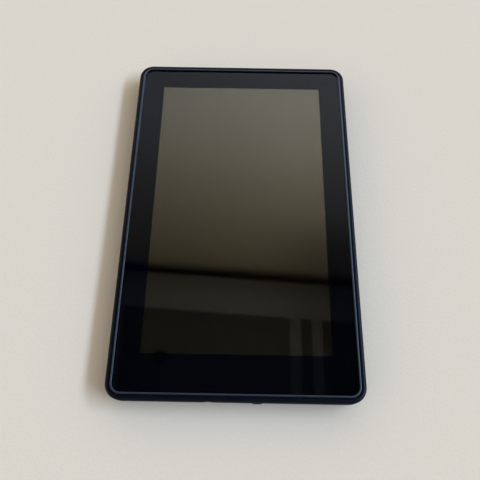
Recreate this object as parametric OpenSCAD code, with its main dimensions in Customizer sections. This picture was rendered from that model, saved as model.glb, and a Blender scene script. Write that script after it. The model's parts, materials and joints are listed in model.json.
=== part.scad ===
// Slim seven-inch reading tablet lying on its back.
// X runs across the body, Y runs up the page and Z runs out of the screen.
// The origin is the middle of the flat back. All sizes are in millimetres.

/* [Body] */
// Width across the sides
body_w = 120; // [119.5:0.5:122]
// Height from the port edge to the speaker edge
body_h = 190; // [189.5:0.5:192]
// Thickness from the back to the top of the lip
body_t = 11.4; // [11.4:0.1:12.4]
// Radius of the four corners seen from the front
corner_r = 7.6; // [7.4:0.1:8.2]
// Radius of the edge between the back and the sides
back_edge_r = 3.6; // [3:0.1:3.6]
// Radius of the rear cover's upper edge
rim_r = 1.5; // [1.2:0.1:1.5]
// Height of the rear cover's upper edge below the top of the lip
rim_drop = 0.5; // [0.3:0.1:0.8]
// Thickness of the rear cover's sides
wall_t = 1.9; // [1.8:0.1:1.9]
// Thickness of the rear cover's back
floor_t = 1.3; // [1.1:0.1:1.3]

/* [Screen] */
// Width of the window in the black border
screen_w = 90; // [88:0.5:92]
// Height of the window in the black border
screen_h = 154.7; // [150:0.1:154.7]
// Height of the window's centre above the body's centre
screen_y = 3.4; // [2:0.1:3.4]
// Gap between the rear cover and the front frame
seam = 0.2; // [0.15:0.05:0.3]
// Width of the front frame's raised lip
lip_w = 0.8; // [0.7:0.05:0.9]
// Width of the sunken step between the lip and the rear cover
step_w = 0.5; // [0.4:0.05:0.5]
// Gap between the lip and the cover glass
glass_gap = 0.05; // [0.04:0.01:0.1]
// Depth of the cover glass below the top of the lip
glass_recess = 0.1; // [0.05:0.05:0.2]
// Thickness of the cover glass
glass_t = 1; // [0.9:0.1:1.1]
// Thickness of the display module
lcd_t = 3.2; // [3:0.1:3.2]

/* [Inside] */
// Thickness of the metal plate behind the display
plate_t = 0.6; // [0.5:0.1:0.6]
// Width of the battery cell
battery_w = 84; // [78:1:84]
// Height of the battery cell
battery_h = 118; // [110:1:118]
// Thickness of the battery cell
battery_t = 3.8; // [3.4:0.1:3.8]
// Thickness of the main board
board_t = 0.8; // [0.7:0.1:0.9]
// Width of the main board
board_w = 103; // [101:1:103]

/* [Ports and button] */
// Centre of the power button across the body
button_x = 10; // [9:0.5:12]
// Width of the power button
button_w = 4.4; // [4:0.1:5]
// Height of the power button
button_h = 2.4; // [2.2:0.1:2.6]
// How far the power button stands out
button_proud = 0.45; // [0.3:0.05:0.6]
// Travel of the power button
button_travel = 0.3; // [0.2:0.05:0.3]
// Centre of the charging socket across the body
usb_x = -1; // [-2:0.5:0]
// Centre of the headphone jack across the body
jack_x = -13; // [-15:0.5:-12]
// Radius of the headphone jack's bore
jack_bore_r = 1.785; // [1.76:0.005:1.8]

/* [Hidden] */
$fn = 64;
// A little more than any cut needs, so that it passes right through
over = 1;

// Corner centres, shared by the rear cover, the front frame and the glass
corner_x = body_w / 2 - corner_r;
corner_y = body_h / 2 - corner_r;

// Levels, from the lip down to the back
rim_top = body_t - rim_drop;
glass_top = body_t - glass_recess;
mask_t = 0.1;
mask_top = glass_top - glass_t;
mask_low = mask_top - mask_t;
tape_t = 0.2;
ledge_top = mask_low - tape_t;
ledge_t = 0.7;
touch_t = 0.3;
touch_low = mask_low - touch_t;
gasket_t = 0.6;
lcd_top = touch_low - gasket_t;
lcd_low = lcd_top - lcd_t;
plate_low = lcd_low - plate_t;
battery_top = plate_low - tape_t;
battery_low = battery_top - battery_t;
standoff_t = 0.4;
board_top = plate_low - standoff_t;
board_low = board_top - board_t;
port_z = board_low + board_t / 2;

// Front frame: distances outward from the line of corner centres
frame_out = corner_r - wall_t - seam;
lip_in = frame_out - step_w - lip_w;
ledge_in = 0.2;
lip_r = 0.25;
step_top = rim_top - 0.4;
skirt_low = lcd_top - 1.7;
glass_out = lip_in - glass_gap;
inner_wall_y = body_h / 2 - wall_t;

// Snap ridges on the skirt, and their recesses in the rear cover
snap_z = skirt_low + 0.9;
snap_h = 0.6;
snap_deep = 0.4;
snap_long = 8;
snap_side_y = [-66, -20, 20, 66];
snap_end_x = [-34, 34];

// Display module
lcd_w = 100.2;
lcd_h = 161.2;
lcd_y = screen_y - 2;
lcd_end_y = lcd_y - lcd_h / 2;
tray_wall = 0.5;
tray_floor = 0.3;
guide_t = 1.2;
films_t = 0.4;
polariser_t = 0.2;
led_depth = 1.4;

// Battery
battery_y = 19;
battery_end_y = battery_y - battery_h / 2;
protection_depth = 3.4;
lead_pitch = 1.3;
battery_plug_x = -20;
battery_plug_y = -50;

// Main board
board_end_y = -92.2;
board_h = 45.2;
board_y = board_end_y + board_h / 2;
board_screws_at = [[-46, -88], [46, -88], [-46, -51], [28, -51], [20, -88]];
chassis_side_x = corner_x + 2.2;
chassis_side_y = [-72, -38, 0, 38, 76];
chassis_end_x = 16;
chassis_end_y = corner_y + 2.4;
screw_r = 0.6;
pilot_r = 0.62;
head_r = 1.4;
head_t = 0.6;
boss_r = 1.7;

// Flexible circuits: width, centre, and the line where each one folds
flex_t = 0.15;
lcd_flex_w = 24;
lcd_flex_x = 34;
lcd_fold_y = -84.6;
touch_flex_w = 14;
touch_flex_x = -34;
touch_fold_y = -87.2;
slot_margin = 0.6;
socket_t = 1.2;
socket_depth = 4;
lcd_socket_y = -79;
touch_socket_y = -81;

// Charging socket
usb_w = 7.5;
usb_h = 2.6;
usb_wall = 0.25;
usb_long = 5.4;
usb_front_y = -body_h / 2 + 0.8;
usb_hole_gap = 0.6;

// Headphone jack
jack_w = 6.2;
jack_h = 5;
jack_long = 12.4;
jack_front_y = -inner_wall_y + 0.7;
jack_nose_r = 2.6;
jack_nose_y = -body_h / 2 + 0.4;
jack_bore_end_y = jack_front_y + jack_long - 0.8;
jack_hole_gap = 0.15;

// Power button and the switch behind it
button_gap = 0.12;
flange_w = 6;
flange_h = 3.4;
flange_t = 0.75;
flange_y = -inner_wall_y + 0.15;
switch_w = 4.8;
switch_h = 1.8;
switch_depth = 2.6;
switch_y = flange_y + flange_t + button_travel + 0.3;
plunger_w = 1.8;
plunger_h = 1;
plunger_long = 1.3;
plunger_gap = 0.1;

// Speakers at the upper edge
speaker_w = 24;
speaker_depth = 10.5;
speaker_h = 3;
speaker_x = 40;
speaker_front_y = inner_wall_y - 1;
speaker_low = 2.3;
speaker_wall = 0.5;
slot_w = 9;
slot_h = 1.2;
slot_pitch = 10.6;
slot_z = 4.4;
mesh_t = 0.2;
gasket_depth = speaker_front_y + 0.75;

// Wires
lead_r = 0.4;
speaker_lead_x = 46.5;
cable_r = 0.55;
cable_x = 49.5;
wire_z = 3.2;
module_x = 44;
module_y = -57;
module_h = 11;
module_t = 1.6;
antenna_y = 55;
antenna_h = 38;

// ---- Shared shapes ----

// Rectangle with true round corners
module rounded_outline(w, h, r) {
    square([w - 2 * r, h], center = true);
    square([w, h - 2 * r], center = true);
    for (x = [-1, 1], y = [-1, 1])
        translate([x * (w / 2 - r), y * (h / 2 - r)])
            circle(r);
}

// Flat plate with round corners between two levels
module plate(w, h, r, low, high) {
    translate([0, 0, low])
        linear_extrude(high - low)
            rounded_outline(w, h, r);
}

// Flat ring: a plate with a round-cornered window
module ring(outer, outer_r, window, window_r, low, high, window_y = 0) {
    difference() {
        plate(outer[0], outer[1], outer_r, low, high);
        translate([0, window_y, 0])
            plate(window[0], window[1], window_r, low - over, high + over);
    }
}

// Block given by its centre in X and Y, its size and its lower level
module block(x, y, size, low) {
    translate([x - size[0] / 2, y - size[1] / 2, low])
        cube(size);
}

// Sweeps a section round the body. The section's x is the distance
// outward from the line of corner centres, and its y is the level.
module sweep_outline() {
    signs = [[1, 1], [-1, 1], [-1, -1], [1, -1]];
    for (k = [0 : 3]) {
        across = k % 2 == 0 ? corner_x : corner_y;
        along = k % 2 == 0 ? corner_y : corner_x;
        translate([signs[k][0] * corner_x, signs[k][1] * corner_y, 0])
            rotate(90 * k)
                rotate_extrude(angle = 90)
                    children();
        rotate(90 * k)
            translate([across, 0, 0])
                rotate([90, 0, 0])
                    linear_extrude(2 * along, center = true)
                        children();
    }
}

// Area from the sweep's axis out to a side whose two corners are round
module round_sided(reach, low, high, low_r, high_r) {
    translate([0, low + low_r])
        square([reach, high - low - low_r - high_r]);
    translate([0, low])
        square([reach - low_r, high - low - high_r]);
    translate([0, low + low_r])
        square([reach - high_r, high - low - low_r]);
    translate([reach - low_r, low + low_r])
        circle(low_r);
    translate([reach - high_r, high - high_r])
        circle(high_r);
}

// Stadium in the plane of the port edge, pushed through along Y
module stadium_bar(x, z, w, h, from_y, to_y) {
    translate([x, to_y, z])
        rotate([90, 0, 0])
            linear_extrude(to_y - from_y) {
                square([w - h, h], center = true);
                for (side = [-1, 1])
                    translate([side * (w - h) / 2, 0])
                        circle(h / 2);
            }
}

// Round bar along Y
module round_bar(x, z, r, from_y, to_y) {
    translate([x, to_y, z])
        rotate([90, 0, 0])
            cylinder(h = to_y - from_y, r = r);
}

// Places children at each of the screws that hold the plate to the frame
module at_chassis_screws() {
    for (side = [-1, 1]) {
        for (y = chassis_side_y)
            translate([side * chassis_side_x, y, 0])
                children();
        translate([side * chassis_end_x, chassis_end_y, 0])
            children();
    }
}

// Places children at each of the screws that hold the main board
module at_board_screws() {
    for (p = board_screws_at)
        translate([p[0], p[1], 0])
            children();
}

// Blocks at the snap fits, standing out from the skirt's face
module snaps(reach, deep, long, high) {
    for (side = [-1, 1]) {
        for (y = snap_side_y)
            block(side * (reach[0] + deep / 2 - over / 2), y,
                [deep + over, long, high], snap_z - high / 2);
        for (x = snap_end_x)
            block(x, side * (reach[1] + deep / 2 - over / 2),
                [long, deep + over, high], snap_z - high / 2);
    }
}

// Flexible circuit that folds back under itself, seen from its side
module folded_strip(w, fold_y, top_end_y, low_end_y, high, low, bend_r) {
    reach = max(top_end_y, low_end_y) - fold_y + 2 * bend_r;
    tall = high - low;
    rotate([90, 0, 90])
        linear_extrude(w, center = true)
            difference() {
                translate([fold_y + reach / 2, (high + low) / 2])
                    rounded_outline(reach, tall, bend_r);
                translate([fold_y + reach / 2, (high + low) / 2])
                    rounded_outline(reach - 2 * flex_t, tall - 2 * flex_t,
                        bend_r - flex_t);
                translate([top_end_y, (high + low) / 2])
                    square([reach, tall]);
                translate([low_end_y, low - over])
                    square([reach, tall / 2 + over]);
            }
}

// ---- Casing ----

module rear_cover() color("#161c2a") difference() {
    union() {
        sweep_outline()
            difference() {
                round_sided(corner_r, 0, rim_top, back_edge_r, rim_r);
                round_sided(corner_r - wall_t, floor_t, rim_top + 2 * over,
                    back_edge_r - floor_t, over / 2);
            }
        translate([-corner_x, -corner_y, 0])
            cube([2 * corner_x, 2 * corner_y, floor_t]);
        cover_ribs();
    }
    snaps([corner_x + corner_r - wall_t, inner_wall_y], snap_deep, snap_long + 0.6,
        snap_h + 0.4);
    port_holes();
    speaker_slots();
}

// Ribs that stiffen the back on each side of the battery
module cover_ribs() {
    rib_t = 0.8;
    rib_h = 2.4;
    rib_x = battery_w / 2 + 1.2;
    for (side = [-1, 1]) {
        block(side * rib_x, battery_y, [rib_t, battery_h - 8, rib_h], floor_t);
        for (y = [-24, 0, 24, 48, 72])
            block(side * (rib_x + 1.2), y, [2.4, rib_t, 1.2], floor_t);
    }
}

// Openings in the port edge for the jack, the charging socket and the button
module port_holes() {
    from_y = -body_h / 2 - over;
    to_y = -inner_wall_y + over;
    round_bar(jack_x, port_z, jack_nose_r + jack_hole_gap, from_y, to_y);
    stadium_bar(usb_x, port_z, usb_w + 2 * usb_hole_gap, usb_h + 2 * usb_hole_gap,
        from_y, to_y);
    stadium_bar(button_x, port_z, button_w + 2 * button_gap,
        button_h + 2 * button_gap, from_y, to_y);
}

// Two slots over each speaker in the upper edge
module speaker_slots() {
    for (side = [-1, 1], k = [-0.5, 0.5])
        stadium_bar(side * speaker_x + k * slot_pitch, slot_z, slot_w, slot_h,
            inner_wall_y - over, body_h / 2 + over);
}

// Ring round the glass: a raised lip, a sunken step outside it, a ledge under the
// glass, and a skirt
module front_frame() color("#10131b") difference() {
    union() {
        sweep_outline() {
            translate([lip_in, skirt_low])
                square([lip_w + step_w, step_top - skirt_low]);
            translate([lip_in, skirt_low])
                square([lip_w, body_t - lip_r - skirt_low]);
            translate([lip_in + lip_r, body_t - lip_r])
                square([lip_w - 2 * lip_r, lip_r]);
            for (x = [lip_in + lip_r, lip_in + lip_w - lip_r])
                translate([x, body_t - lip_r])
                    circle(lip_r);
            translate([ledge_in, ledge_top - ledge_t])
                square([lip_in + lip_w / 2 - ledge_in, ledge_t]);
        }
        snaps([corner_x + frame_out, corner_y + frame_out], snap_deep,
            snap_long, snap_h);
        at_chassis_screws()
            translate([0, 0, lcd_low])
                cylinder(h = ledge_top - ledge_t / 2 - lcd_low, r = boss_r);
    }
    at_chassis_screws()
        translate([0, 0, lcd_low - over])
            cylinder(h = 2.6 + over, r = pilot_r);
}

// ---- Screen ----

module cover_glass() color("#20242a", 0.5)
    plate(2 * (corner_x + glass_out), 2 * (corner_y + glass_out), glass_out,
        mask_top, glass_top);

// Black printed film that frames the lit area behind the glass
module border_mask() color("#0a0a0d")
    ring([2 * (corner_x + glass_out), 2 * (corner_y + glass_out)], glass_out,
        [screen_w, screen_h], 0.3, mask_low, mask_top, screen_y);

module touch_sensor() color("#3b4a4a", 0.6)
    translate([0, 1, 0])
        plate(2 * corner_x - 0.8, 2 * corner_y - 4, 1, touch_low, mask_low);

module touch_flex() color("#b06a1e")
    translate([touch_flex_x, 0, 0])
        folded_strip(touch_flex_w, touch_fold_y, -82, touch_socket_y - 1.2,
            touch_low, board_low - socket_t / 2, 1.2);

// Chip that reads the touch sensor, on the flexible circuit's upright run
module touch_controller() color("#1b1b1d")
    block(touch_flex_x, touch_fold_y - 0.45, [5, 0.9, 3.4], port_z + 1.2);

// Double-sided tape between the ledge and the glass
module glass_tape() color("#2c2c2c")
    ring([2 * (corner_x + glass_out) - 0.6, 2 * (corner_y + glass_out) - 0.6],
        glass_out - 0.3, [2 * corner_x + 0.8, 2 * corner_y + 0.8], 0.4,
        ledge_top, mask_low);

// Foam that keeps dust out of the gap between display and touch sensor
module display_gasket() color("#26262a")
    translate([0, screen_y, 0])
        ring([screen_w + 7, screen_h + 3], 1, [screen_w + 2, screen_h + 1.2], 0.5,
            lcd_top, touch_low);

module upper_polariser() color("#34342c")
    translate([0, screen_y, 0])
        plate(screen_w + 2, screen_h + 1, 0.3, lcd_top - polariser_t, lcd_top);

module lcd_panel() color("#4a4f50")
    block(0, lcd_y, [lcd_w - 2 * tray_wall - 0.2, lcd_h - 2 * tray_wall - 0.2,
        lcd_top - polariser_t - films_low() - films_t], films_low() + films_t);

function films_low() = lcd_low + tray_floor + guide_t;

module diffuser_films() color("#e8e8e2")
    block(0, lcd_y, [lcd_w - 2 * tray_wall - 0.4, lcd_h - 2 * tray_wall - 0.4,
        films_t], films_low());

module light_guide() color("#dfe9ee", 0.8)
    block(0, lcd_y + led_depth / 2 + 0.1, [lcd_w - 2 * tray_wall - 0.4,
        lcd_h - 2 * tray_wall - 0.6 - led_depth, guide_t], lcd_low + tray_floor);

// Row of white light-emitting chips on a strip at the display's lower end
module backlight_leds() color("#f4efcf") {
    strip_y = lcd_end_y + tray_wall + 0.1 + led_depth / 2;
    strip_z = lcd_low + tray_floor;
    block(0, strip_y - 0.5, [94, 0.4, 1], strip_z);
    for (k = [-7 : 7])
        block(k * 6.2, strip_y + 0.1, [3.2, 0.8, 0.8], strip_z + 0.1);
}

// Folded steel tray that holds the display together
module lcd_tray() color("#a9adb0")
    translate([0, lcd_y, 0])
        difference() {
            plate(lcd_w, lcd_h, 1, lcd_low, lcd_top - polariser_t);
            block(0, 0, [lcd_w - 2 * tray_wall, lcd_h - 2 * tray_wall, lcd_t],
                lcd_low + tray_floor);
            block(lcd_flex_x, -lcd_h / 2, [lcd_flex_w + 2, 2, lcd_t],
                lcd_low + tray_floor + guide_t);
        }

module lcd_flex() color("#b8742a")
    translate([lcd_flex_x, 0, 0])
        folded_strip(lcd_flex_w, lcd_fold_y, lcd_end_y + tray_wall, lcd_socket_y - 1.2,
            films_low() + films_t, board_low - socket_t / 2, 1.2);

// ---- Plate and battery ----

module mid_plate() color("#8f9496") difference() {
    union() {
        plate(2 * (corner_x + lip_in) - 0.4, 2 * (corner_y + lip_in) - 0.4,
            lip_in - 0.2, plate_low, lcd_low);
        at_board_screws()
            translate([0, 0, board_top])
                cylinder(h = standoff_t + plate_t / 2, r = 2.2);
    }
    at_chassis_screws()
        translate([0, 0, plate_low - over])
            cylinder(h = plate_t + 2 * over, r = screw_r + 0.2);
    at_board_screws()
        translate([0, 0, board_top - over])
            cylinder(h = standoff_t + plate_t + 2 * over, r = pilot_r);
    ports_relief();
    flex_slots(plate_low - over, lcd_low + over);
    // Windows that save weight behind the display
    for (x = [-30, 0, 30], y = [-20, 22, 64])
        translate([x, y, 0])
            plate(18, 30, 3, plate_low - over, lcd_low + over);
}

// Cut in the plate that clears the jack, the socket and the switch
module ports_relief() {
    left = jack_x - jack_w / 2 - 1.2;
    right = button_x + flange_w / 2 + 1.2;
    translate([left, -body_h / 2, plate_low - over])
        cube([right - left, body_h / 2 + lcd_end_y - 0.2, plate_t + 2 * over]);
}

// Slots that let the two flexible circuits through
module flex_slots(low, high) {
    block(lcd_flex_x, lcd_fold_y + 0.2, [lcd_flex_w + 2 * slot_margin, 2.6,
        high - low], low);
    block(touch_flex_x, touch_fold_y - 0.1, [touch_flex_w + 2 * slot_margin, 3.2,
        high - low], low);
}

module chassis_screws() color("#777b80")
    at_chassis_screws() {
        translate([0, 0, plate_low - head_t])
            cylinder(h = head_t, r = head_r);
        translate([0, 0, plate_low])
            cylinder(h = plate_t + 2.2, r = screw_r);
    }

module battery_cell() color("#b9bcc0")
    translate([0, battery_y, 0])
        plate(battery_w, battery_h, 1.8, battery_low, battery_top);

module battery_tape() color("#e6e0c8")
    for (x = [-25, 25])
        block(x, battery_y, [10, battery_h - 16, tape_t], battery_top);

// Narrow board along the cell's lower end, with its two switching chips
module protection_board() color("#1f5b3a") {
    y = battery_end_y - protection_depth / 2 - 0.1;
    block(0, y, [64, protection_depth, 0.8], battery_low + 1.4);
    for (x = [8, 18])
        block(x, y, [4, 2.4, 0.9], battery_low + 2.2);
}

module battery_leads() color("#b3272d")
    for (k = [-1.5 : 1.5])
        round_bar(battery_plug_x + k * lead_pitch, wire_z, lead_r,
            battery_plug_y + 1.6, battery_end_y - protection_depth - 0.1);

module battery_plug() color("#efe9da")
    difference() {
        block(battery_plug_x, battery_plug_y, [7, 3.2, 1.5], wire_z - 0.75);
        block(battery_plug_x, battery_plug_y - 1.6, [6, 1.4, 0.5], wire_z - 0.25);
    }

module battery_socket() color("#d9d2bf")
    difference() {
        block(battery_plug_x, battery_plug_y - 0.6, [9, 4.4, 2.2], board_low - 2.2);
        block(battery_plug_x, battery_plug_y + 0.4, [7.2, 4.2, 1.7], wire_z - 0.85);
    }

// ---- Main board ----

module main_board() color("#14452f") difference() {
    block(0, board_y, [board_w, board_h, board_t], board_low);
    at_board_screws()
        translate([0, 0, board_low - over])
            cylinder(h = board_t + 2 * over, r = screw_r + 0.25);
    board_notch(usb_x, usb_w + 0.6, usb_front_y + usb_long + 0.3);
    board_notch(jack_x, jack_w + 0.6, jack_front_y + jack_long + 0.3);
    board_notch(button_x, flange_w + 0.6, switch_y + switch_depth + 0.2);
    flex_slots(board_low - over, board_top + over);
}

// Notch in the board's lower edge that reaches up to a line
module board_notch(x, w, to_y) {
    translate([x - w / 2, board_end_y - over, board_low - over])
        cube([w, to_y - board_end_y + over, board_t + 2 * over]);
}

module board_screws() color("#777b80")
    at_board_screws() {
        translate([0, 0, board_low - head_t])
            cylinder(h = head_t, r = head_r);
        translate([0, 0, board_low])
            cylinder(h = board_t + standoff_t + plate_t - 0.1, r = screw_r);
    }

// Chip package hanging from the board's rear face
module chip(x, y, w, h, t) {
    block(x, y, [w, h, t], board_low - t);
}

// Folded metal can over a group of chips
module shield(x, y, w, h, t) {
    sheet = 0.2;
    difference() {
        block(x, y, [w, h, t], board_low - t);
        block(x, y, [w - 2 * sheet, h - 2 * sheet, t], board_low - t + sheet);
    }
}

module processor() color("#1d1d20") {
    chip(-13, -65, 12, 12, 0.8);
    block(-13, -65, [11.4, 11.4, 0.6], board_low - 1.4);
}

module flash_memory() color("#18181a")
    chip(4, -65, 11.5, 13, 1);

module power_manager() color("#1a1a1d")
    chip(23, -60, 7, 7, 0.9);

// Inductors of the voltage converters
module power_coils() color("#3a3a3e")
    for (p = [[30, -58], [30, -63], [23, -67], [29, -68]])
        chip(p[0], p[1], 3, 3, 1.2);

module audio_codec() color("#1c1c1f")
    chip(-33, -66, 5, 5, 0.8);

module display_transmitter() color("#1c1c1f")
    chip(44, -71, 7, 7, 0.8);

module wireless_module() color("#b4b7ba")
    chip(module_x, module_y, 12, module_h, module_t);

module processor_shield() color("#bfc2c4")
    shield(-5.5, -65, 36, 20, 2);

module power_shield() color("#bfc2c4")
    shield(26.5, -63, 18, 17, 2);

// Connector that grips the end of a flexible circuit
module flex_socket(x, y, w) {
    difference() {
        block(x, y, [w + 2, socket_depth, socket_t], board_low - socket_t);
        block(x, y - socket_depth / 2, [w + 0.2, 2 * socket_depth - 2,
            flex_t + 0.06], board_low - socket_t / 2 - 0.03);
    }
}

module lcd_socket() color("#e4dcc4")
    flex_socket(lcd_flex_x, lcd_socket_y, lcd_flex_w);

module touch_socket() color("#e4dcc4")
    flex_socket(touch_flex_x, touch_socket_y, touch_flex_w);

// Small capacitors in two rows above and below the shields
module board_capacitors() color("#a58a5a") {
    for (k = [-8 : 3])
        chip(-2 + k * 2.6, -79.4, 1, 0.5, 0.5);
    for (k = [0 : 5])
        chip(-40, -58 - k * 2.4, 1.6, 0.8, 0.8);
}

// ---- Ports ----

// Bent steel shell, open at the front, of the charging socket
module usb_shell() color("#c9ccce") difference() {
    socket_bar(usb_w, usb_h);
    translate([0, -usb_wall, 0])
        socket_bar(usb_w - 2 * usb_wall, usb_h - 2 * usb_wall);
}

// Bar with the socket's outline: flat top, and slanted lower corners
module socket_bar(w, h) {
    slant = 0.9;
    translate([usb_x, usb_front_y + usb_long, port_z])
        rotate([90, 0, 0])
            linear_extrude(usb_long)
                polygon([
                    [-w / 2, h / 2], [w / 2, h / 2], [w / 2, -h / 2 + slant],
                    [w / 2 - slant, -h / 2], [-w / 2 + slant, -h / 2],
                    [-w / 2, -h / 2 + slant]
                ]);
}

// Plastic tongue with five gold contacts inside the charging socket
module usb_tongue() color("#17171a") {
    back_y = usb_front_y + usb_long - usb_wall;
    translate([usb_x - 1.8, usb_front_y + 0.9, port_z + 0.25])
        cube([3.6, back_y - usb_front_y - 0.9, 0.6]);
    translate([usb_x - 3.3, back_y - 0.7, port_z - 0.35])
        cube([6.6, 0.7, 1.2]);
}

// Moulded jack with a round nose that shows in the port edge
module headphone_jack() color("#1a1a1c") difference() {
    union() {
        translate([jack_x - jack_w / 2, jack_front_y, port_z - jack_h / 2])
            cube([jack_w, jack_long, jack_h]);
        round_bar(jack_x, port_z, jack_nose_r, jack_nose_y, jack_front_y + over);
    }
    round_bar(jack_x, port_z, jack_bore_r, jack_nose_y - over, jack_bore_end_y);
}

// Spring terminals clipped to the jack's sides, with feet on the board
module jack_contacts() color("#c8a24a")
    for (side = [-1, 1], y = [2.5, 7.5])
        translate([jack_x + side * (jack_w / 2 + 0.1), jack_front_y + y,
            board_low - 0.25]) {
            cube([0.2, 1.4, 1.8], center = true);
            translate([side * 0.5, 0, 0.1])
                cube([1.2, 1, 0.3], center = true);
        }

// ---- Power button ----

module power_button() color("#10131b") {
    stadium_bar(button_x, port_z, button_w, button_h,
        -body_h / 2 - button_proud, flange_y);
    stadium_bar(button_x, port_z, flange_w, flange_h, flange_y, flange_y + flange_t);
}

module switch_body() color("#2a2a2e") difference() {
    translate([button_x - switch_w / 2, switch_y, port_z - switch_h / 2])
        cube([switch_w, switch_depth, switch_h]);
    translate([button_x, switch_y, port_z])
        cube([plunger_w + 2 * plunger_gap, 2 * (plunger_long + 0.2),
            plunger_h + 2 * plunger_gap], center = true);
}

module switch_plunger() color("#d8d2c2")
    translate([button_x - plunger_w / 2, flange_y + flange_t,
        port_z - plunger_h / 2])
        cube([plunger_w, plunger_long, plunger_h]);

// ---- Speakers ----

// Open-fronted speaker box that faces the upper edge
module speaker_box(side) {
    difference() {
        translate([side * speaker_x - speaker_w / 2, speaker_front_y - speaker_depth,
            speaker_low])
            cube([speaker_w, speaker_depth, speaker_h]);
        translate([side * speaker_x - speaker_w / 2 + speaker_wall,
            speaker_front_y - speaker_depth + speaker_wall, speaker_low + speaker_wall])
            cube([speaker_w - 2 * speaker_wall, speaker_depth,
                speaker_h - 2 * speaker_wall]);
    }
}

module speaker_left() color("#1e1e21")
    speaker_box(-1);

module speaker_right() color("#1e1e21")
    speaker_box(1);

module speaker_diaphragms() color("#6e6a5c")
    for (side = [-1, 1])
        block(side * speaker_x, speaker_front_y - 2.2, [speaker_w - 2 * speaker_wall
            - 0.1, 0.3, speaker_h - 2 * speaker_wall - 0.1],
            speaker_low + speaker_wall + 0.05);

module speaker_magnets() color("#8d9094")
    for (side = [-1, 1])
        block(side * speaker_x, speaker_front_y - 6.5, [12, 5,
            speaker_h - 2 * speaker_wall - 0.1], speaker_low + speaker_wall + 0.05);

// Foam frames between the speakers and the rear cover
module speaker_gaskets() color("#2d2d30")
    for (side = [-1, 1])
        difference() {
            translate([side * speaker_x - speaker_w / 2 + 0.5, speaker_front_y,
                speaker_low + 0.8])
                cube([speaker_w - 1, gasket_depth - speaker_front_y, 2.2]);
            translate([side * speaker_x - speaker_w / 2 + 1.6, speaker_front_y - over,
                slot_z - slot_h / 2])
                cube([speaker_w - 3.2, 3 * over, slot_h]);
        }

// Fine cloth behind the slots
module speaker_meshes() color("#0c0c0e")
    for (side = [-1, 1])
        translate([side * speaker_x - speaker_w / 2 + 0.8, gasket_depth,
            slot_z - 0.9])
            cube([speaker_w - 1.6, mesh_t, 1.8]);

// A pair of wires down each side, from speaker to board
module speaker_leads() color("#a8262c")
    for (side = [-1, 1], k = [-0.5, 0.5])
        round_bar(side * speaker_lead_x + k, wire_z, lead_r,
            board_end_y + board_h + 0.6, speaker_front_y - speaker_depth);

// ---- Wireless ----

module antenna_carrier() color("#dcdcd6")
    block(52.5, antenna_y, [4.5, antenna_h, 2.6], floor_t + 0.4);

module antenna_foil() color("#c07a3c")
    block(52.5, antenna_y, [4, antenna_h - 2, 0.1], floor_t + 3);

// Thin coaxial cable from the wireless module to the aerial
module antenna_cable() color("#2b2b2e")
    round_bar(cable_x, wire_z, cable_r, module_y + module_h / 2,
        antenna_y - antenna_h / 2 + 6);

rear_cover();
front_frame();
cover_glass();
border_mask();
touch_sensor();
touch_flex();
touch_controller();
glass_tape();
display_gasket();
upper_polariser();
lcd_panel();
diffuser_films();
light_guide();
backlight_leds();
lcd_tray();
lcd_flex();
mid_plate();
chassis_screws();
battery_cell();
battery_tape();
protection_board();
battery_leads();
battery_plug();
battery_socket();
main_board();
board_screws();
processor();
flash_memory();
power_manager();
power_coils();
audio_codec();
display_transmitter();
wireless_module();
processor_shield();
power_shield();
lcd_socket();
touch_socket();
board_capacitors();
usb_shell();
usb_tongue();
headphone_jack();
jack_contacts();
power_button();
switch_body();
switch_plunger();
speaker_left();
speaker_right();
speaker_diaphragms();
speaker_magnets();
speaker_gaskets();
speaker_meshes();
speaker_leads();
antenna_carrier();
antenna_foil();
antenna_cable();
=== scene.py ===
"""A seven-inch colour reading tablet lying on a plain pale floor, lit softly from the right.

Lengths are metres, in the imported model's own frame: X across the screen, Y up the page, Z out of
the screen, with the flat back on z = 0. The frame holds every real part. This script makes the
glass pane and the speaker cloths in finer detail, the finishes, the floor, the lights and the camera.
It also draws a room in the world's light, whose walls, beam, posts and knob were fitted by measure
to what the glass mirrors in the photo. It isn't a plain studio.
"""
import json
import math

import bmesh
import bpy
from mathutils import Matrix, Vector


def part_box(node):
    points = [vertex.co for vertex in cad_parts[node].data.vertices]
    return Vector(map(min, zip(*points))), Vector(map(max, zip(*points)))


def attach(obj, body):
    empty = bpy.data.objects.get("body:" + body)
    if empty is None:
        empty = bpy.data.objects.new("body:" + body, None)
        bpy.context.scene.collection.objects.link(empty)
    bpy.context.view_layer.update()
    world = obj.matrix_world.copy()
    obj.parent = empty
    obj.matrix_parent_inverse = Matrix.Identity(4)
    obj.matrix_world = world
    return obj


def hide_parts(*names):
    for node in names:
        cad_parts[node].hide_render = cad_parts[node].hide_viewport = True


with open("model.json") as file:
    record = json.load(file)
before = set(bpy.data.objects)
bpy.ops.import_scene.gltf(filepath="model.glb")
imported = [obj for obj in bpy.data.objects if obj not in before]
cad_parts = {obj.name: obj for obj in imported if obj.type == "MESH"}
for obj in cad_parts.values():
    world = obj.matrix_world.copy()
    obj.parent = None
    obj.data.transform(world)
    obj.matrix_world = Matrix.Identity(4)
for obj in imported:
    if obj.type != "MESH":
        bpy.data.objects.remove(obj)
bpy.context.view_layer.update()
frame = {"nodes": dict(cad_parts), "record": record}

MM = 0.001
BODY_LOW, BODY_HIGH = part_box("rear_cover")
BODY_CORNER = 7.6 * MM
GLASS_LOW, GLASS_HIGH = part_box("cover_glass")
GLASS_CORNER = 4.15 * MM
WINDOW_LOW, WINDOW_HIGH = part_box("upper_polariser")


# ---------------------------------------------------------------- shader nodes

def feed(tree, socket, value):
    """Gives a socket a value, or the output of another node."""
    if isinstance(value, bpy.types.NodeSocket):
        tree.links.new(value, socket)
    else:
        socket.default_value = value


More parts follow.
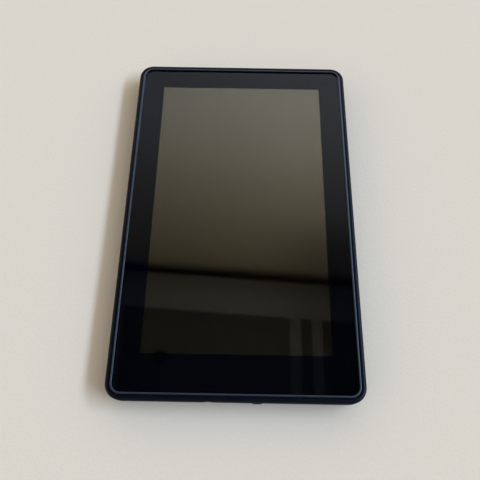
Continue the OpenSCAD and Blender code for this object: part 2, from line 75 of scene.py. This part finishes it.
def add(tree, kind, settings=None, **inputs):
    """A new node. Its inputs are named with _ for each space."""
    made = tree.nodes.new("ShaderNode" + kind)
    for name, value in (settings or {}).items():
        setattr(made, name, value)
    for name, value in inputs.items():
        feed(tree, made.inputs[name.replace("_", " ")], value)
    return made


def calc(tree, operation, *values):
    """One step of arithmetic."""
    made = add(tree, "Math", {"operation": operation})
    for socket, value in zip(made.inputs, values):
        feed(tree, socket, value)
    return made.outputs[0]


def total(tree, first, *others):
    """The sum of two or more values."""
    for other in others:
        first = calc(tree, "ADD", first, other)
    return first


def product(tree, first, *others):
    """Two or more values multiplied together."""
    for other in others:
        first = calc(tree, "MULTIPLY", first, other)
    return first


def largest(tree, first, *others):
    """The largest of two or more values."""
    for other in others:
        first = calc(tree, "MAXIMUM", first, other)
    return first


def ease(tree, value, start, end, low=0.0, high=1.0):
    """low before start, high after end, and a smooth step between them."""
    made = add(tree, "MapRange", {"interpolation_type": "SMOOTHSTEP"}, Value=value,
               From_Min=start, From_Max=end, To_Min=low, To_Max=high)
    return made.outputs[0]


def strip(tree, value, low, high, soft):
    """1 where value is between low and high, 0 elsewhere, with soft edges."""
    rise = ease(tree, value, low - soft, low + soft)
    fall = ease(tree, value, high - soft, high + soft, 1.0, 0.0)
    return product(tree, rise, fall)


def mix(tree, factor, first, second):
    """A colour between two others."""
    made = add(tree, "Mix", {"data_type": "RGBA"})
    feed(tree, made.inputs[0], factor)
    feed(tree, made.inputs[6], rgba(first))
    feed(tree, made.inputs[7], rgba(second))
    return made.outputs[2]


def rgba(colour):
    """A colour with its alpha, or the output that gives one."""
    if isinstance(colour, bpy.types.NodeSocket):
        return colour
    return (*colour, 1.0)


def scaled(tree, colour, level):
    """A colour output times a level."""
    made = add(tree, "VectorMath", {"operation": "SCALE"})
    feed(tree, made.inputs[0], colour)
    feed(tree, made.inputs["Scale"], level)
    return made.outputs[0]


def shade(colour, factor):
    """The same colour, lighter or darker."""
    return tuple(channel * factor for channel in colour)


def place(tree):
    """Where the shaded point is on its part, in metres."""
    return add(tree, "TexCoord").outputs["Object"]


def axes(tree, vector):
    """The X, Y and Z of a vector."""
    return add(tree, "SeparateXYZ", Vector=vector).outputs


def stretched(tree, x=1.0, y=1.0, z=1.0):
    """The place, scaled on each axis, so that a pattern runs along one of them."""
    made = add(tree, "Mapping", Vector=place(tree))
    made.inputs["Scale"].default_value = (x, y, z)
    return made.outputs[0]


def noise(tree, size, detail=2.0, vector=None):
    """Soft noise from 0 to 1, whose lumps are about size metres across."""
    made = add(tree, "TexNoise", Vector=vector or place(tree), Scale=1 / size, Detail=detail)
    return made.outputs[0]


def cells(tree, size, feature="F1", randomness=1.0, vector=None):
    """Distance from the middle of each cell, with cells about size metres across."""
    made = add(tree, "TexVoronoi", {"feature": feature}, Vector=vector or place(tree),
               Scale=1 / size, Randomness=randomness)
    return made.outputs["Distance"]


def lines(tree, pitch, axis="X", share=0.5, vector=None):
    """1 on even lines across an axis, pitch metres apart and share of the pitch wide."""
    along = axes(tree, vector or place(tree))[axis]
    phase = calc(tree, "FRACT", calc(tree, "DIVIDE", along, pitch))
    return strip(tree, phase, 0.5 - share / 2, 0.5 + share / 2, 0.06)


def relief(tree, height, depth, normal=None):
    """Raises the surface by depth metres where height is 1."""
    made = add(tree, "Bump", Height=height, Distance=depth)
    if normal is not None:
        feed(tree, made.inputs["Normal"], normal)
    return made.outputs[0]


def inside_outline(tree, half_x, half_y, corner):
    """How far a point is inside the outline of a rounded rectangle, seen from above."""
    here = axes(tree, place(tree))
    past = []
    for axis, half in (("X", half_x), ("Y", half_y)):
        past.append(calc(tree, "SUBTRACT", calc(tree, "ABSOLUTE", here[axis]), half - corner))
    squares = [calc(tree, "POWER", largest(tree, value, 0.0), 2.0) for value in past]
    round_part = calc(tree, "SQRT", total(tree, *squares))
    straight_part = calc(tree, "MINIMUM", largest(tree, *past), 0.0)
    return calc(tree, "SUBTRACT", corner, total(tree, round_part, straight_part))


def start_material(name):
    """A new material's node tree and its Principled shader."""
    material = bpy.data.materials.new(name)
    material.use_nodes = True
    return material, material.node_tree, material.node_tree.nodes["Principled BSDF"]


def set_shader(tree, shader, **inputs):
    """Sets or links the shader's sockets, named with _ for each space."""
    for name, value in inputs.items():
        feed(tree, shader.inputs[name.replace("_", " ")], value)


# ---------------------------------------------------------------- finishes

def moulded(name, colour, roughness, grain=0.15 * MM, depth=2e-6, variation=0.25, gloss=0.5):
    """Injection-moulded plastic: faint cloudy colour, fine grain and uneven gloss."""
    material, tree, shader = start_material(name)
    cloud = noise(tree, 9 * MM, 4.0)
    smear = noise(tree, 4 * MM, 3.0)
    speck = noise(tree, grain, 2.0)
    tone = mix(tree, cloud, shade(colour, 1 - variation), shade(colour, 1 + variation))
    set_shader(
        tree, shader,
        Base_Color=mix(tree, ease(tree, speck, 0.62, 0.72, 0.0, 0.35), tone, shade(colour, 1.8)),
        Roughness=ease(tree, smear, 0.3, 0.7, roughness * 0.85, roughness * 1.15),
        Specular_IOR_Level=gloss,
        Normal=relief(tree, speck, depth),
    )
    return material


def metal(name, colour, roughness, along="X", grain=0.25 * MM, depth=1.5e-6):
    """Plated or rolled metal: fine drawing lines along one axis, and dull handled patches."""
    material, tree, shader = start_material(name)
    scale = {axis: 0.06 if axis == along else 1.0 for axis in "XYZ"}
    drawn = noise(tree, grain, 3.0, stretched(tree, scale["X"], scale["Y"], scale["Z"]))
    patch = noise(tree, 5 * MM, 4.0)
    dull = mix(tree, ease(tree, patch, 0.35, 0.75), colour, shade(colour, 0.72))
    set_shader(
        tree, shader,
        Base_Color=mix(tree, ease(tree, drawn, 0.3, 0.7, 0.0, 0.4), dull, shade(colour, 0.8)),
        Metallic=1.0,
        Roughness=ease(tree, patch, 0.3, 0.75, roughness, roughness * 1.6),
        Normal=relief(tree, drawn, depth),
    )
    return material


def film(name, colour, roughness, pattern, pattern_colour, strength, depth=0.0):
    """A thin layer or coating with a printed or etched pattern on it."""
    material, tree, shader = start_material(name)
    marks = pattern(tree)
    cloud = noise(tree, 12 * MM, 3.0)
    ground = mix(tree, cloud, shade(colour, 0.88), shade(colour, 1.1))
    weight = product(tree, marks, strength)
    set_shader(
        tree, shader,
        Base_Color=mix(tree, weight, ground, pattern_colour),
        Roughness=ease(tree, cloud, 0.3, 0.7, roughness * 0.85, roughness * 1.2),
    )
    if depth:
        set_shader(tree, shader, Normal=relief(tree, marks, depth))
    return material


def foam(name, colour, cell=0.35 * MM, depth=40e-6):
    """Die-cut foam: open cells, with painted shade darkening their pits."""
    material, tree, shader = start_material(name)
    pits = cells(tree, cell)
    set_shader(
        tree, shader,
        # Base colour: painted shade, darker in the cell pits.
        Base_Color=mix(tree, ease(tree, pits, 0.1, 0.7), shade(colour, 0.45), shade(colour, 1.25)),
        Roughness=ease(tree, noise(tree, 3 * MM), 0.3, 0.7, 0.85, 0.97),
        Specular_IOR_Level=0.2,
        Normal=relief(tree, pits, depth),
    )
    return material


def shell_coating():
    """Navy-black soft-touch coating: fine grain, faint hand smears, and edges polished by use."""
    material, tree, shader = start_material("soft_touch_shell")
    navy = (0.0011, 0.0023, 0.0066)
    height = axes(tree, place(tree))["Z"]
    inset = inside_outline(tree, BODY_HIGH.x, BODY_HIGH.y, BODY_CORNER)
    grain = noise(tree, 0.16 * MM, 2.0)
    coarse = noise(tree, 0.55 * MM, 1.0)
    smear = noise(tree, 16 * MM, 5.0, stretched(tree, 1.0, 0.45, 1.0))
    touched = ease(tree, smear, 0.52, 0.72)
    on_edge = strip(tree, inset, 0.45 * MM, 2.4 * MM, 0.35 * MM)
    low = ease(tree, height, 0.2 * MM, 2.4 * MM, 1.0, 0.0)
    rubbed = product(tree, on_edge, ease(tree, coarse, 0.3, 0.7, 0.8, 1.0))
    scratches = noise(tree, 0.5 * MM, 4.0, stretched(tree, 0.12, 1.0, 1.0))
    scuffs = product(tree, low, ease(tree, scratches, 0.6, 0.74))
    tone = mix(tree, noise(tree, 24 * MM, 3.0), shade(navy, 0.82), shade(navy, 1.2))
    tone = mix(tree, product(tree, touched, 0.3), tone, (0.008, 0.010, 0.018))
    tone = mix(tree, product(tree, scuffs, 0.35), tone, (0.028, 0.030, 0.038))
    dry = ease(tree, touched, 0.0, 1.0, 0.96, 0.86)
    set_shader(
        tree, shader,
        Base_Color=tone,
        Roughness=calc(tree, "SUBTRACT", dry, product(tree, rubbed, 0.6)),
        Specular_IOR_Level=0.2,
        # Specular tint: a painted bluish tint on the reflections, standing in for cool window light.
        Specular_Tint=(0.50, 0.70, 1.0, 1.0),
        Normal=relief(tree, grain, 5e-6, relief(tree, coarse, 4e-6)),
    )
    return material


def frame_coating():
    """Navy-black moulding round the glass: a satin lip beside a sunken, glossier step."""
    material, tree, shader = start_material("frame_plastic")
    navy = (0.003, 0.005, 0.013)
    worn = ease(tree, axes(tree, place(tree))["Z"], 10.6 * MM, 11.0 * MM, 0.3, 1.0)
    grain = noise(tree, 0.14 * MM, 2.0)
    smear = noise(tree, 7 * MM, 4.0)
    nicks = ease(tree, noise(tree, 0.7 * MM, 3.0), 0.70, 0.78)
    tone = mix(tree, noise(tree, 20 * MM, 3.0), shade(navy, 0.85), shade(navy, 1.2))
    set_shader(
        tree, shader,
        Base_Color=mix(tree, product(tree, nicks, 0.5), tone, (0.05, 0.055, 0.07)),
        Roughness=product(tree, worn, ease(tree, smear, 0.3, 0.7, 0.36, 0.44)),
        IOR=2.0,
        Specular_IOR_Level=0.6,
        # Specular tint: a painted bluish tint on the glints, standing in for cool window light.
        Specular_Tint=(0.46, 0.64, 1.0, 1.0),
        Normal=relief(tree, grain, 1.2e-6),
    )
    return material


def finger_marks(tree):
    """Where fingers have left a thin film of grease: long smears and a few tap marks."""
    swirl = noise(tree, 34 * MM, 3.0, stretched(tree, 1.0, 0.6, 1.0))
    taps = ease(tree, cells(tree, 26 * MM), 0.16, 0.28, 1.0, 0.0)
    return largest(tree, ease(tree, swirl, 0.5, 0.75), product(tree, taps, 0.6))


def clear_glass():
    """Clear strengthened glass. Its gloss is left to the ink and the display bonded beneath it."""
    material, tree, shader = start_material("cover_glass")
    set_shader(
        tree, shader,
        Base_Color=mix(tree, finger_marks(tree), (1.0, 1.0, 1.0), (0.985, 0.988, 0.99)),
        Roughness=0.0,
        IOR=1.02,
        Transmission_Weight=1.0,
    )
    return material


def waviness(tree):
    """The very slight waviness of a pane of glass."""
    return relief(tree, noise(tree, 45 * MM, 1.0), 15e-6)


def printed_border():
    """Black ink printed on the underside of the glass, with the gloss of the glass."""
    material, tree, shader = start_material("border_ink")
    print_grain = noise(tree, 0.3 * MM, 3.0)
    set_shader(
        tree, shader,
        Base_Color=mix(tree, print_grain, (0.0002, 0.0005, 0.0022), (0.0004, 0.0009, 0.0034)),
        Roughness=0.0,
        IOR=1.47,
        # Specular tint: a painted bluish tint on the reflections, standing in for cool light.
        Specular_Tint=(0.86, 0.91, 1.0, 1.0),
        Normal=waviness(tree),
    )
    return material


def switched_off_display(name, pitch, share):
    """A layer of a display that is off: dark olive with a fine grid, and the gloss of the glass."""
    material, tree, shader = start_material(name)
    olive = (0.0035, 0.0032, 0.0018)
    grid = largest(tree, lines(tree, pitch, "X", share), lines(tree, pitch, "Y", share))
    cloud = noise(tree, 35 * MM, 3.0)
    tone = mix(tree, cloud, shade(olive, 0.9), shade(olive, 1.1))
    set_shader(
        tree, shader,
        Base_Color=mix(tree, product(tree, grid, 0.3), tone, shade(olive, 0.5)),
        Roughness=ease(tree, cloud, 0.3, 0.7, 0.022, 0.034),
        IOR=2.14,
        Specular_Tint=(0.98, 0.92, 0.70, 1.0),
        Coat_Weight=1.0,
        Coat_IOR=1.47,
        Coat_Roughness=0.0,
        Coat_Normal=waviness(tree),
    )
    return material


def port_steel():
    """Nickel-plated socket shell, drawn along the port, with a worn mouth."""
    material, tree, shader = start_material("socket_steel")
    nickel = (0.62, 0.60, 0.57)
    drawn = noise(tree, 0.12 * MM, 3.0, stretched(tree, 1.0, 0.08, 1.0))
    mouth = ease(tree, axes(tree, place(tree))["Y"], BODY_LOW.y, BODY_LOW.y + 2.5 * MM, 1.0, 0.0)
    worn = product(tree, mouth, ease(tree, noise(tree, 0.6 * MM, 4.0), 0.45, 0.6))
    set_shader(
        tree, shader,
        Base_Color=mix(tree, worn, nickel, (0.42, 0.38, 0.33)),
        Metallic=1.0,
        Roughness=total(tree, 0.22, product(tree, worn, 0.2)),
        Normal=relief(tree, drawn, 1.5e-6),
    )
    return material


def traces(tree):
    """Copper tracks under the solder mask of a circuit board."""
    across = lines(tree, 0.8 * MM, "X", 0.4)
    upward = lines(tree, 0.8 * MM, "Y", 0.4)
    side = ease(tree, noise(tree, 6 * MM, 1.0), 0.49, 0.51)
    kept = ease(tree, noise(tree, 3.5 * MM, 2.0), 0.47, 0.5)
    first = product(tree, across, side)
    second = product(tree, upward, calc(tree, "SUBTRACT", 1.0, side))
    return product(tree, largest(tree, first, second), kept)


def wrinkles(tree):
    """Fine creases of a foil pouch."""
    return ease(tree, cells(tree, 6 * MM, "DISTANCE_TO_EDGE"), 0.0, 0.08, 1.0, 0.0)


def make_finishes():
    """Every finish in the record, by its slot's name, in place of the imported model's plain ones."""
    for plain in list(bpy.data.materials):
        bpy.data.materials.remove(plain)
    black, white = (0.012, 0.012, 0.013), (0.78, 0.78, 0.76)
    amber, copper = (0.30, 0.12, 0.025), (0.72, 0.36, 0.18)
    made = [
        shell_coating(),
        frame_coating(),
        clear_glass(),
        printed_border(),
        switched_off_display("touch_film", 5 * MM, 0.02),
        switched_off_display("dark_polariser", 0.15 * MM, 0.3),
        port_steel(),
        moulded("button_plastic", (0.006, 0.007, 0.012), 0.22, depth=1e-6, gloss=0.6),
        moulded("black_connector", black, 0.38),
        moulded("cream_connector", (0.72, 0.66, 0.52), 0.42),
        moulded("chip_epoxy", (0.018, 0.018, 0.019), 0.5, grain=0.08 * MM, depth=4e-6),
        moulded("speaker_plastic", black, 0.45),
        moulded("aerial_plastic", (0.05, 0.05, 0.052), 0.5),
        moulded("wire_jacket", (0.42, 0.02, 0.015), 0.4),
        moulded("cable_jacket", (0.03, 0.03, 0.032), 0.42),
        moulded("ferrite", (0.05, 0.048, 0.047), 0.6, grain=0.1 * MM, depth=8e-6),
        moulded("capacitor_ceramic", (0.36, 0.25, 0.16), 0.35, grain=0.05 * MM),
        metal("tray_steel", (0.55, 0.55, 0.56), 0.3, "Y"),
        metal("plate_magnesium", (0.47, 0.47, 0.48), 0.5, "Y", 1.2 * MM, 8e-6),
        metal("screw_steel", (0.30, 0.30, 0.31), 0.32, "Z"),
        metal("shield_tin", (0.68, 0.67, 0.65), 0.26, "X"),
        metal("gilt_brass", (0.90, 0.66, 0.28), 0.2, "Y"),
        metal("magnet_nickel", (0.60, 0.58, 0.55), 0.24, "X"),
        metal("aerial_copper", copper, 0.3, "X"),
        foam("foam_tape", (0.02, 0.02, 0.021)),
        foam("gasket_foam", (0.045, 0.045, 0.047), 0.5 * MM),
        foam("speaker_paper", (0.10, 0.09, 0.08), 0.2 * MM, 15e-6),
        film("flex_circuit", amber, 0.3, lambda tree: lines(tree, 0.5 * MM, "X", 0.5), copper, 0.5),
        film("lcd_glass", (0.02, 0.022, 0.02), 0.08,
             lambda tree: lines(tree, 0.15 * MM, "X", 0.5), (0.05, 0.05, 0.045), 0.5),
        film("white_film", white, 0.35,
             lambda tree: lines(tree, 0.05 * MM, "Y", 0.5), (0.9, 0.9, 0.88), 0.5, 4e-6),
        film("clear_acrylic", (0.70, 0.76, 0.76), 0.12,
             lambda tree: ease(tree, cells(tree, 1.2 * MM, randomness=0.0), 0.18, 0.24, 1.0, 0.0),
             (0.95, 0.95, 0.93), 0.8),
        film("led_strip", white, 0.4,
             lambda tree: ease(tree, cells(tree, 2 * MM, randomness=0.0), 0.2, 0.3, 1.0, 0.0),
             (0.85, 0.62, 0.06), 0.9),
        film("battery_pouch", (0.42, 0.43, 0.44), 0.34, wrinkles, (0.58, 0.58, 0.59), 0.5, 30e-6),
        film("paper_tape", (0.62, 0.57, 0.44), 0.7,
             lambda tree: ease(tree, noise(tree, 0.6 * MM, 4.0), 0.45, 0.6), (0.5, 0.45, 0.33), 0.6, 6e-6),
        film("green_board", (0.012, 0.11, 0.045), 0.3, traces, (0.05, 0.24, 0.09), 0.9, 12e-6),
        woven_cloth(),
    ]
    return {material.name: material for material in made}


def woven_cloth():
    """Black acoustic cloth over the speakers."""
    material, tree, shader = start_material("mesh_cloth")
    fibre = noise(tree, 0.03 * MM, 3.0)
    set_shader(
        tree, shader,
        Base_Color=mix(tree, fibre, (0.006, 0.006, 0.007), (0.03, 0.03, 0.033)),
        Roughness=ease(tree, noise(tree, 0.4 * MM), 0.3, 0.7, 0.6, 0.8),
        Sheen_Weight=0.2,
        Normal=relief(tree, fibre, 6e-6),
    )
    return material


# ---------------------------------------------------------------- pieces

def link(name, mesh):
    """A new object with that mesh."""
    piece = bpy.data.objects.new(name, mesh)
    bpy.context.scene.collection.objects.link(piece)
    return piece


def rounded_loop(shape, low, high, corner, z, inset=0.0, steps=14):
    """The points of a rounded rectangle at one height, pulled in by inset."""
    points = []
    radius = max(corner - inset, 0.05 * MM)
    middles = (
        (high.x - inset - radius, high.y - inset - radius),
        (low.x + inset + radius, high.y - inset - radius),
        (low.x + inset + radius, low.y + inset + radius),
        (high.x - inset - radius, low.y + inset + radius),
    )
    for quarter, (x, y) in enumerate(middles):
        for step in range(steps + 1):
            turn = math.radians(90 * (quarter + step / steps))
            points.append(shape.verts.new((x + radius * math.cos(turn), y + radius * math.sin(turn), z)))
    return points


def bridge(shape, lower, upper, material=0):
    """Faces between two loops of the same number of points."""
    faces = []
    for here in range(len(lower)):
        after = (here + 1) % len(lower)
        face = shape.faces.new((lower[here], lower[after], upper[after], upper[here]))
        face.material_index = material
        faces.append(face)
    return faces


def make_pane(finishes):
    """The cover glass with ground edges, and the black ink printed under its border."""
    polish = 0.22 * MM
    arris = 0.12 * MM
    ink_gap = 0.03 * MM
    side_lap, lower_lap, upper_lap = 0.95 * MM, 0.5 * MM, 1.55 * MM
    window_corner = 0.5 * MM
    underside = GLASS_LOW.z + ink_gap
    window_low = WINDOW_LOW + Vector((side_lap, lower_lap, 0.0))
    window_high = WINDOW_HIGH - Vector((side_lap, upper_lap, 0.0))
    shape = bmesh.new()
    ink = rounded_loop(shape, window_low, window_high, window_corner, underside)
    loops = [rounded_loop(shape, GLASS_LOW, GLASS_HIGH, GLASS_CORNER, underside, arris)]
    loops.append(rounded_loop(shape, GLASS_LOW, GLASS_HIGH, GLASS_CORNER, underside + arris))
    arc_steps = 5
    for step in range(arc_steps + 1):
        turn = math.radians(90 * step / arc_steps)
        z = GLASS_HIGH.z - polish + polish * math.sin(turn)
        loops.append(rounded_loop(shape, GLASS_LOW, GLASS_HIGH, GLASS_CORNER, z,
                                  polish * (1 - math.cos(turn))))
    for lower, upper in zip(loops, loops[1:]):
        for face in bridge(shape, lower, upper):
            face.smooth = True
    bridge(shape, ink, loops[0], 1)
    shape.faces.new(ink)
    shape.faces.new(loops[-1])
    bmesh.ops.recalc_face_normals(shape, faces=shape.faces)
    mesh = bpy.data.meshes.new("glass_pane")
    shape.to_mesh(mesh)
    shape.free()
    mesh.materials.append(finishes["cover_glass"])
    mesh.materials.append(finishes["border_ink"])
    pane = link("glass_pane", mesh)
    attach(pane, "device")
    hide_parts("cover_glass", "border_mask")
    return pane


def thread(shape, start, along, across, length, pitch, thickness, phase):
    """One square thread that waves over and under the threads it crosses."""
    half = thickness / 2
    steps = max(4, round(length / pitch) * 2)
    rings = []
    for step in range(steps + 1):
        t = step / steps
        wave = thickness * 0.45 * math.cos(math.pi * (step + phase))
        x = start[0] + along[0] * length * t
        z = start[1] + along[1] * length * t
        ring = []
        for side, deep in ((-half, -half), (half, -half), (half, half), (-half, half)):
            corner = (x + across[0] * side, start[2] + wave + deep, z + across[1] * side)
            ring.append(shape.verts.new(corner))
        rings.append(ring)
    for lower, upper in zip(rings, rings[1:]):
        bridge(shape, lower, upper)
    shape.faces.new(rings[0])
    shape.faces.new(rings[-1])


def make_cloths(finishes):
    """The two speaker cloths as woven threads, in the place of their flat solids."""
    low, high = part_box("speaker_meshes")
    inner = min(abs(vertex.co.x) for vertex in frame["nodes"]["speaker_meshes"].data.vertices)
    width, tall = high.x - inner, high.z - low.z
    middle = (low.y + high.y) / 2
    pitch = 0.3 * MM
    thickness = (high.y - low.y) * 0.5
    shape = bmesh.new()
    for left in (inner, -high.x):
        for column in range(round(width / pitch)):
            x = left + pitch * (column + 0.5)
            thread(shape, (x, low.z, middle), (0, 1), (1, 0), tall, pitch, thickness, column)
        for row in range(round(tall / pitch)):
            z = low.z + pitch * (row + 0.5)
            thread(shape, (left, z, middle), (1, 0), (0, 1), width, pitch, thickness, row + 1)
    bmesh.ops.recalc_face_normals(shape, faces=shape.faces)
    mesh = bpy.data.meshes.new("speaker_cloths")
    shape.to_mesh(mesh)
    shape.free()
    mesh.materials.append(finishes["mesh_cloth"])
    cloths = link("speaker_cloths", mesh)
    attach(cloths, "device")
    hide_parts("speaker_meshes")
    return cloths


def finish_nodes(finishes):
    """Gives every part of the frame the finish of its slot."""
    for subpart in frame["record"]["subparts"]:
        mesh = frame["nodes"][subpart["node"]].data
        mesh.materials.clear()
        mesh.materials.append(finishes[subpart["material_slot"]])


# ---------------------------------------------------------------- studio

def make_floor():
    """A plain pale matt floor."""
    material, tree, shader = start_material("studio_floor")
    beige = (0.76, 0.745, 0.71)
    tooth = noise(tree, 1.4 * MM, 4.0)
    set_shader(
        tree, shader,
        Base_Color=mix(tree, tooth, shade(beige, 0.97), shade(beige, 1.03)),
        Roughness=0.9,
        Specular_IOR_Level=0.2,
        Normal=relief(tree, tooth, 0.1 * MM),
    )
    shape = bmesh.new()
    bmesh.ops.create_grid(shape, x_segments=1, y_segments=1, size=3.0)
    mesh = bpy.data.meshes.new("floor")
    shape.to_mesh(mesh)
    shape.free()
    mesh.materials.append(material)
    floor = link("floor", mesh)
    floor.location.z = -0.05 * MM


def wall_colours(tree, reach):
    """The room's colour by its distance from overhead: dark ceiling, lit recess, bright far wall."""
    made = add(tree, "ValToRGB", Fac=reach)
    stops = (
        (0.0, (0.038, 0.038, 0.038)),
        (0.19, (0.035, 0.035, 0.035)),
        (0.238, (0.025, 0.025, 0.025)),
        (0.246, (0.110, 0.110, 0.105)),
        (0.275, (0.108, 0.106, 0.100)),
        (0.31, (0.066, 0.064, 0.060)),
        (0.345, (0.155, 0.135, 0.105)),
        (0.37, (0.215, 0.190, 0.145)),
        (0.44, (0.32, 0.29, 0.24)),
        (0.56, (0.50, 0.48, 0.44)),
        (0.66, (0.67, 0.67, 0.65)),
        (0.76, (0.76, 0.77, 0.78)),
        (0.90, (0.76, 0.78, 0.81)),
    )
    ramp = made.color_ramp.elements
    while len(ramp) < len(stops):
        ramp.new(1.0)
    for element, (position, colour) in zip(ramp, stops):
        element.position = position
        element.color = rgba(colour)
    return made.outputs[0]


def ceiling_level(tree, across, away, tilted, near):
    """Brightness of what hangs overhead: a dark beam, two pale posts, a dark knob, a dim right side."""
    beam_start = ease(tree, tilted, 0.312, 0.322)
    beam_end = ease(tree, tilted, 0.326, 0.350, 1.0, 0.0)
    beam = product(tree, beam_start, beam_end, near)
    gloom = product(tree, ease(tree, across, 0.0, 0.2, 0.0, 0.42), ease(tree, tilted, 0.38, 0.5, 1.0, 0.0))
    sideways = calc(tree, "MINIMUM", largest(tree, across, -0.2), 0.1)
    slope = total(tree, 1.0, product(tree, sideways, near))
    level = product(tree, calc(tree, "SUBTRACT", 1.0, beam), calc(tree, "SUBTRACT", 1.0, gloom), slope)
    left_post = strip(tree, across, 0.102, 0.125, 0.003)
    right_post = strip(tree, across, 0.147, 0.168, 0.003)
    posts = product(tree, largest(tree, left_post, right_post), strip(tree, tilted, 0.0, 0.24, 0.006), 1.6)
    spread = add(tree, "VectorMath", {"operation": "DISTANCE"})
    feed(tree, spread.inputs[0], add(tree, "CombineXYZ", X=across, Y=away).outputs[0])
    feed(tree, spread.inputs[1], (-0.159, 0.153, 0.0))
    knob = ease(tree, spread.outputs["Value"], 0.011, 0.018, 0.05, 1.0)
    return product(tree, total(tree, level, posts), knob)


def make_room():
    """The room that the glass mirrors, drawn by direction: across and away are slopes from overhead."""
    world = bpy.data.worlds.new("room")
    world.use_nodes = True
    bpy.context.scene.world = world
    tree = world.node_tree
    toward = axes(tree, add(tree, "TexCoord").outputs["Generated"])
    height = largest(tree, toward["Z"], 0.03)
    across = calc(tree, "DIVIDE", toward["X"], height)
    away = calc(tree, "DIVIDE", toward["Y"], height)
    tilted = total(tree, away, product(tree, across, 0.06))
    behind = product(tree, away, -0.6)
    right = product(tree, total(tree, across, -0.25), 4.0)
    left = product(tree, across, -1.0)
    reach = largest(tree, tilted, behind, right, left)
    near = ease(tree, largest(tree, calc(tree, "ABSOLUTE", across), reach), 0.9, 1.6, 1.0, 0.0)
    overhead = scaled(tree, wall_colours(tree, reach), ceiling_level(tree, across, away, tilted, near))
    neutral, cream, amber = (0.6, 0.54, 0.47), (1.35, 1.10, 0.78), (2.9, 2.15, 1.3)
    walls = mix(tree, ease(tree, toward["Y"], -0.6, 0.1), neutral, cream)
    walls = mix(tree, ease(tree, toward["X"], -0.7, -0.1), amber, walls)
    unlit_side = calc(tree, "MINIMUM", toward["X"], toward["Y"])
    dim = ease(tree, unlit_side, -0.62, -0.27, 0.45, 1.0)
    surroundings = mix(tree, ease(tree, reach, 0.9, 1.8), overhead, walls)
    background = tree.nodes["Background"]
    feed(tree, background.inputs["Color"], scaled(tree, surroundings, dim))
    background.inputs["Strength"].default_value = 1.0


def make_window_light():
    """Soft light from a low, wide window on the right: a row of far lamps side by side."""
    elevation = math.radians(38)
    bearings = (-26, -16, -6, 4, 14, 24)
    for number, bearing in enumerate(bearings):
        turn = math.radians(bearing)
        toward_light = Vector((
            math.cos(elevation) * math.cos(turn),
            math.cos(elevation) * math.sin(turn),
            math.sin(elevation),
        ))
        lamp = bpy.data.lights.new(f"window_light_{number}", "SUN")
        lamp.angle = math.radians(9)
        lamp.energy = 2.34 / len(bearings)
        lamp.color = (0.68, 0.83, 1.0)
        light = bpy.data.objects.new(lamp.name, lamp)
        bpy.context.scene.collection.objects.link(light)
        light.rotation_euler = toward_light.to_track_quat("Z", "Y").to_euler()
        light.location = toward_light


def make_camera():
    """The camera above the lower edge, looking down and a little away."""
    lens = bpy.data.cameras.new("camera")
    lens.lens = 36.9
    lens.sensor_width = 36.0
    lens.clip_start = 0.005
    camera = bpy.data.objects.new("camera", lens)
    bpy.context.scene.collection.objects.link(camera)
    camera.location = (0.0015, -0.1111, 0.2433)
    camera.rotation_euler = [math.radians(angle) for angle in (22.18, -0.22, 0.98)]
    bpy.context.scene.camera = camera


finishes = make_finishes()
finish_nodes(finishes)
make_pane(finishes)
make_cloths(finishes)
make_floor()
make_room()
make_window_light()
make_camera()
bpy.context.scene.view_settings.view_transform = "Standard"
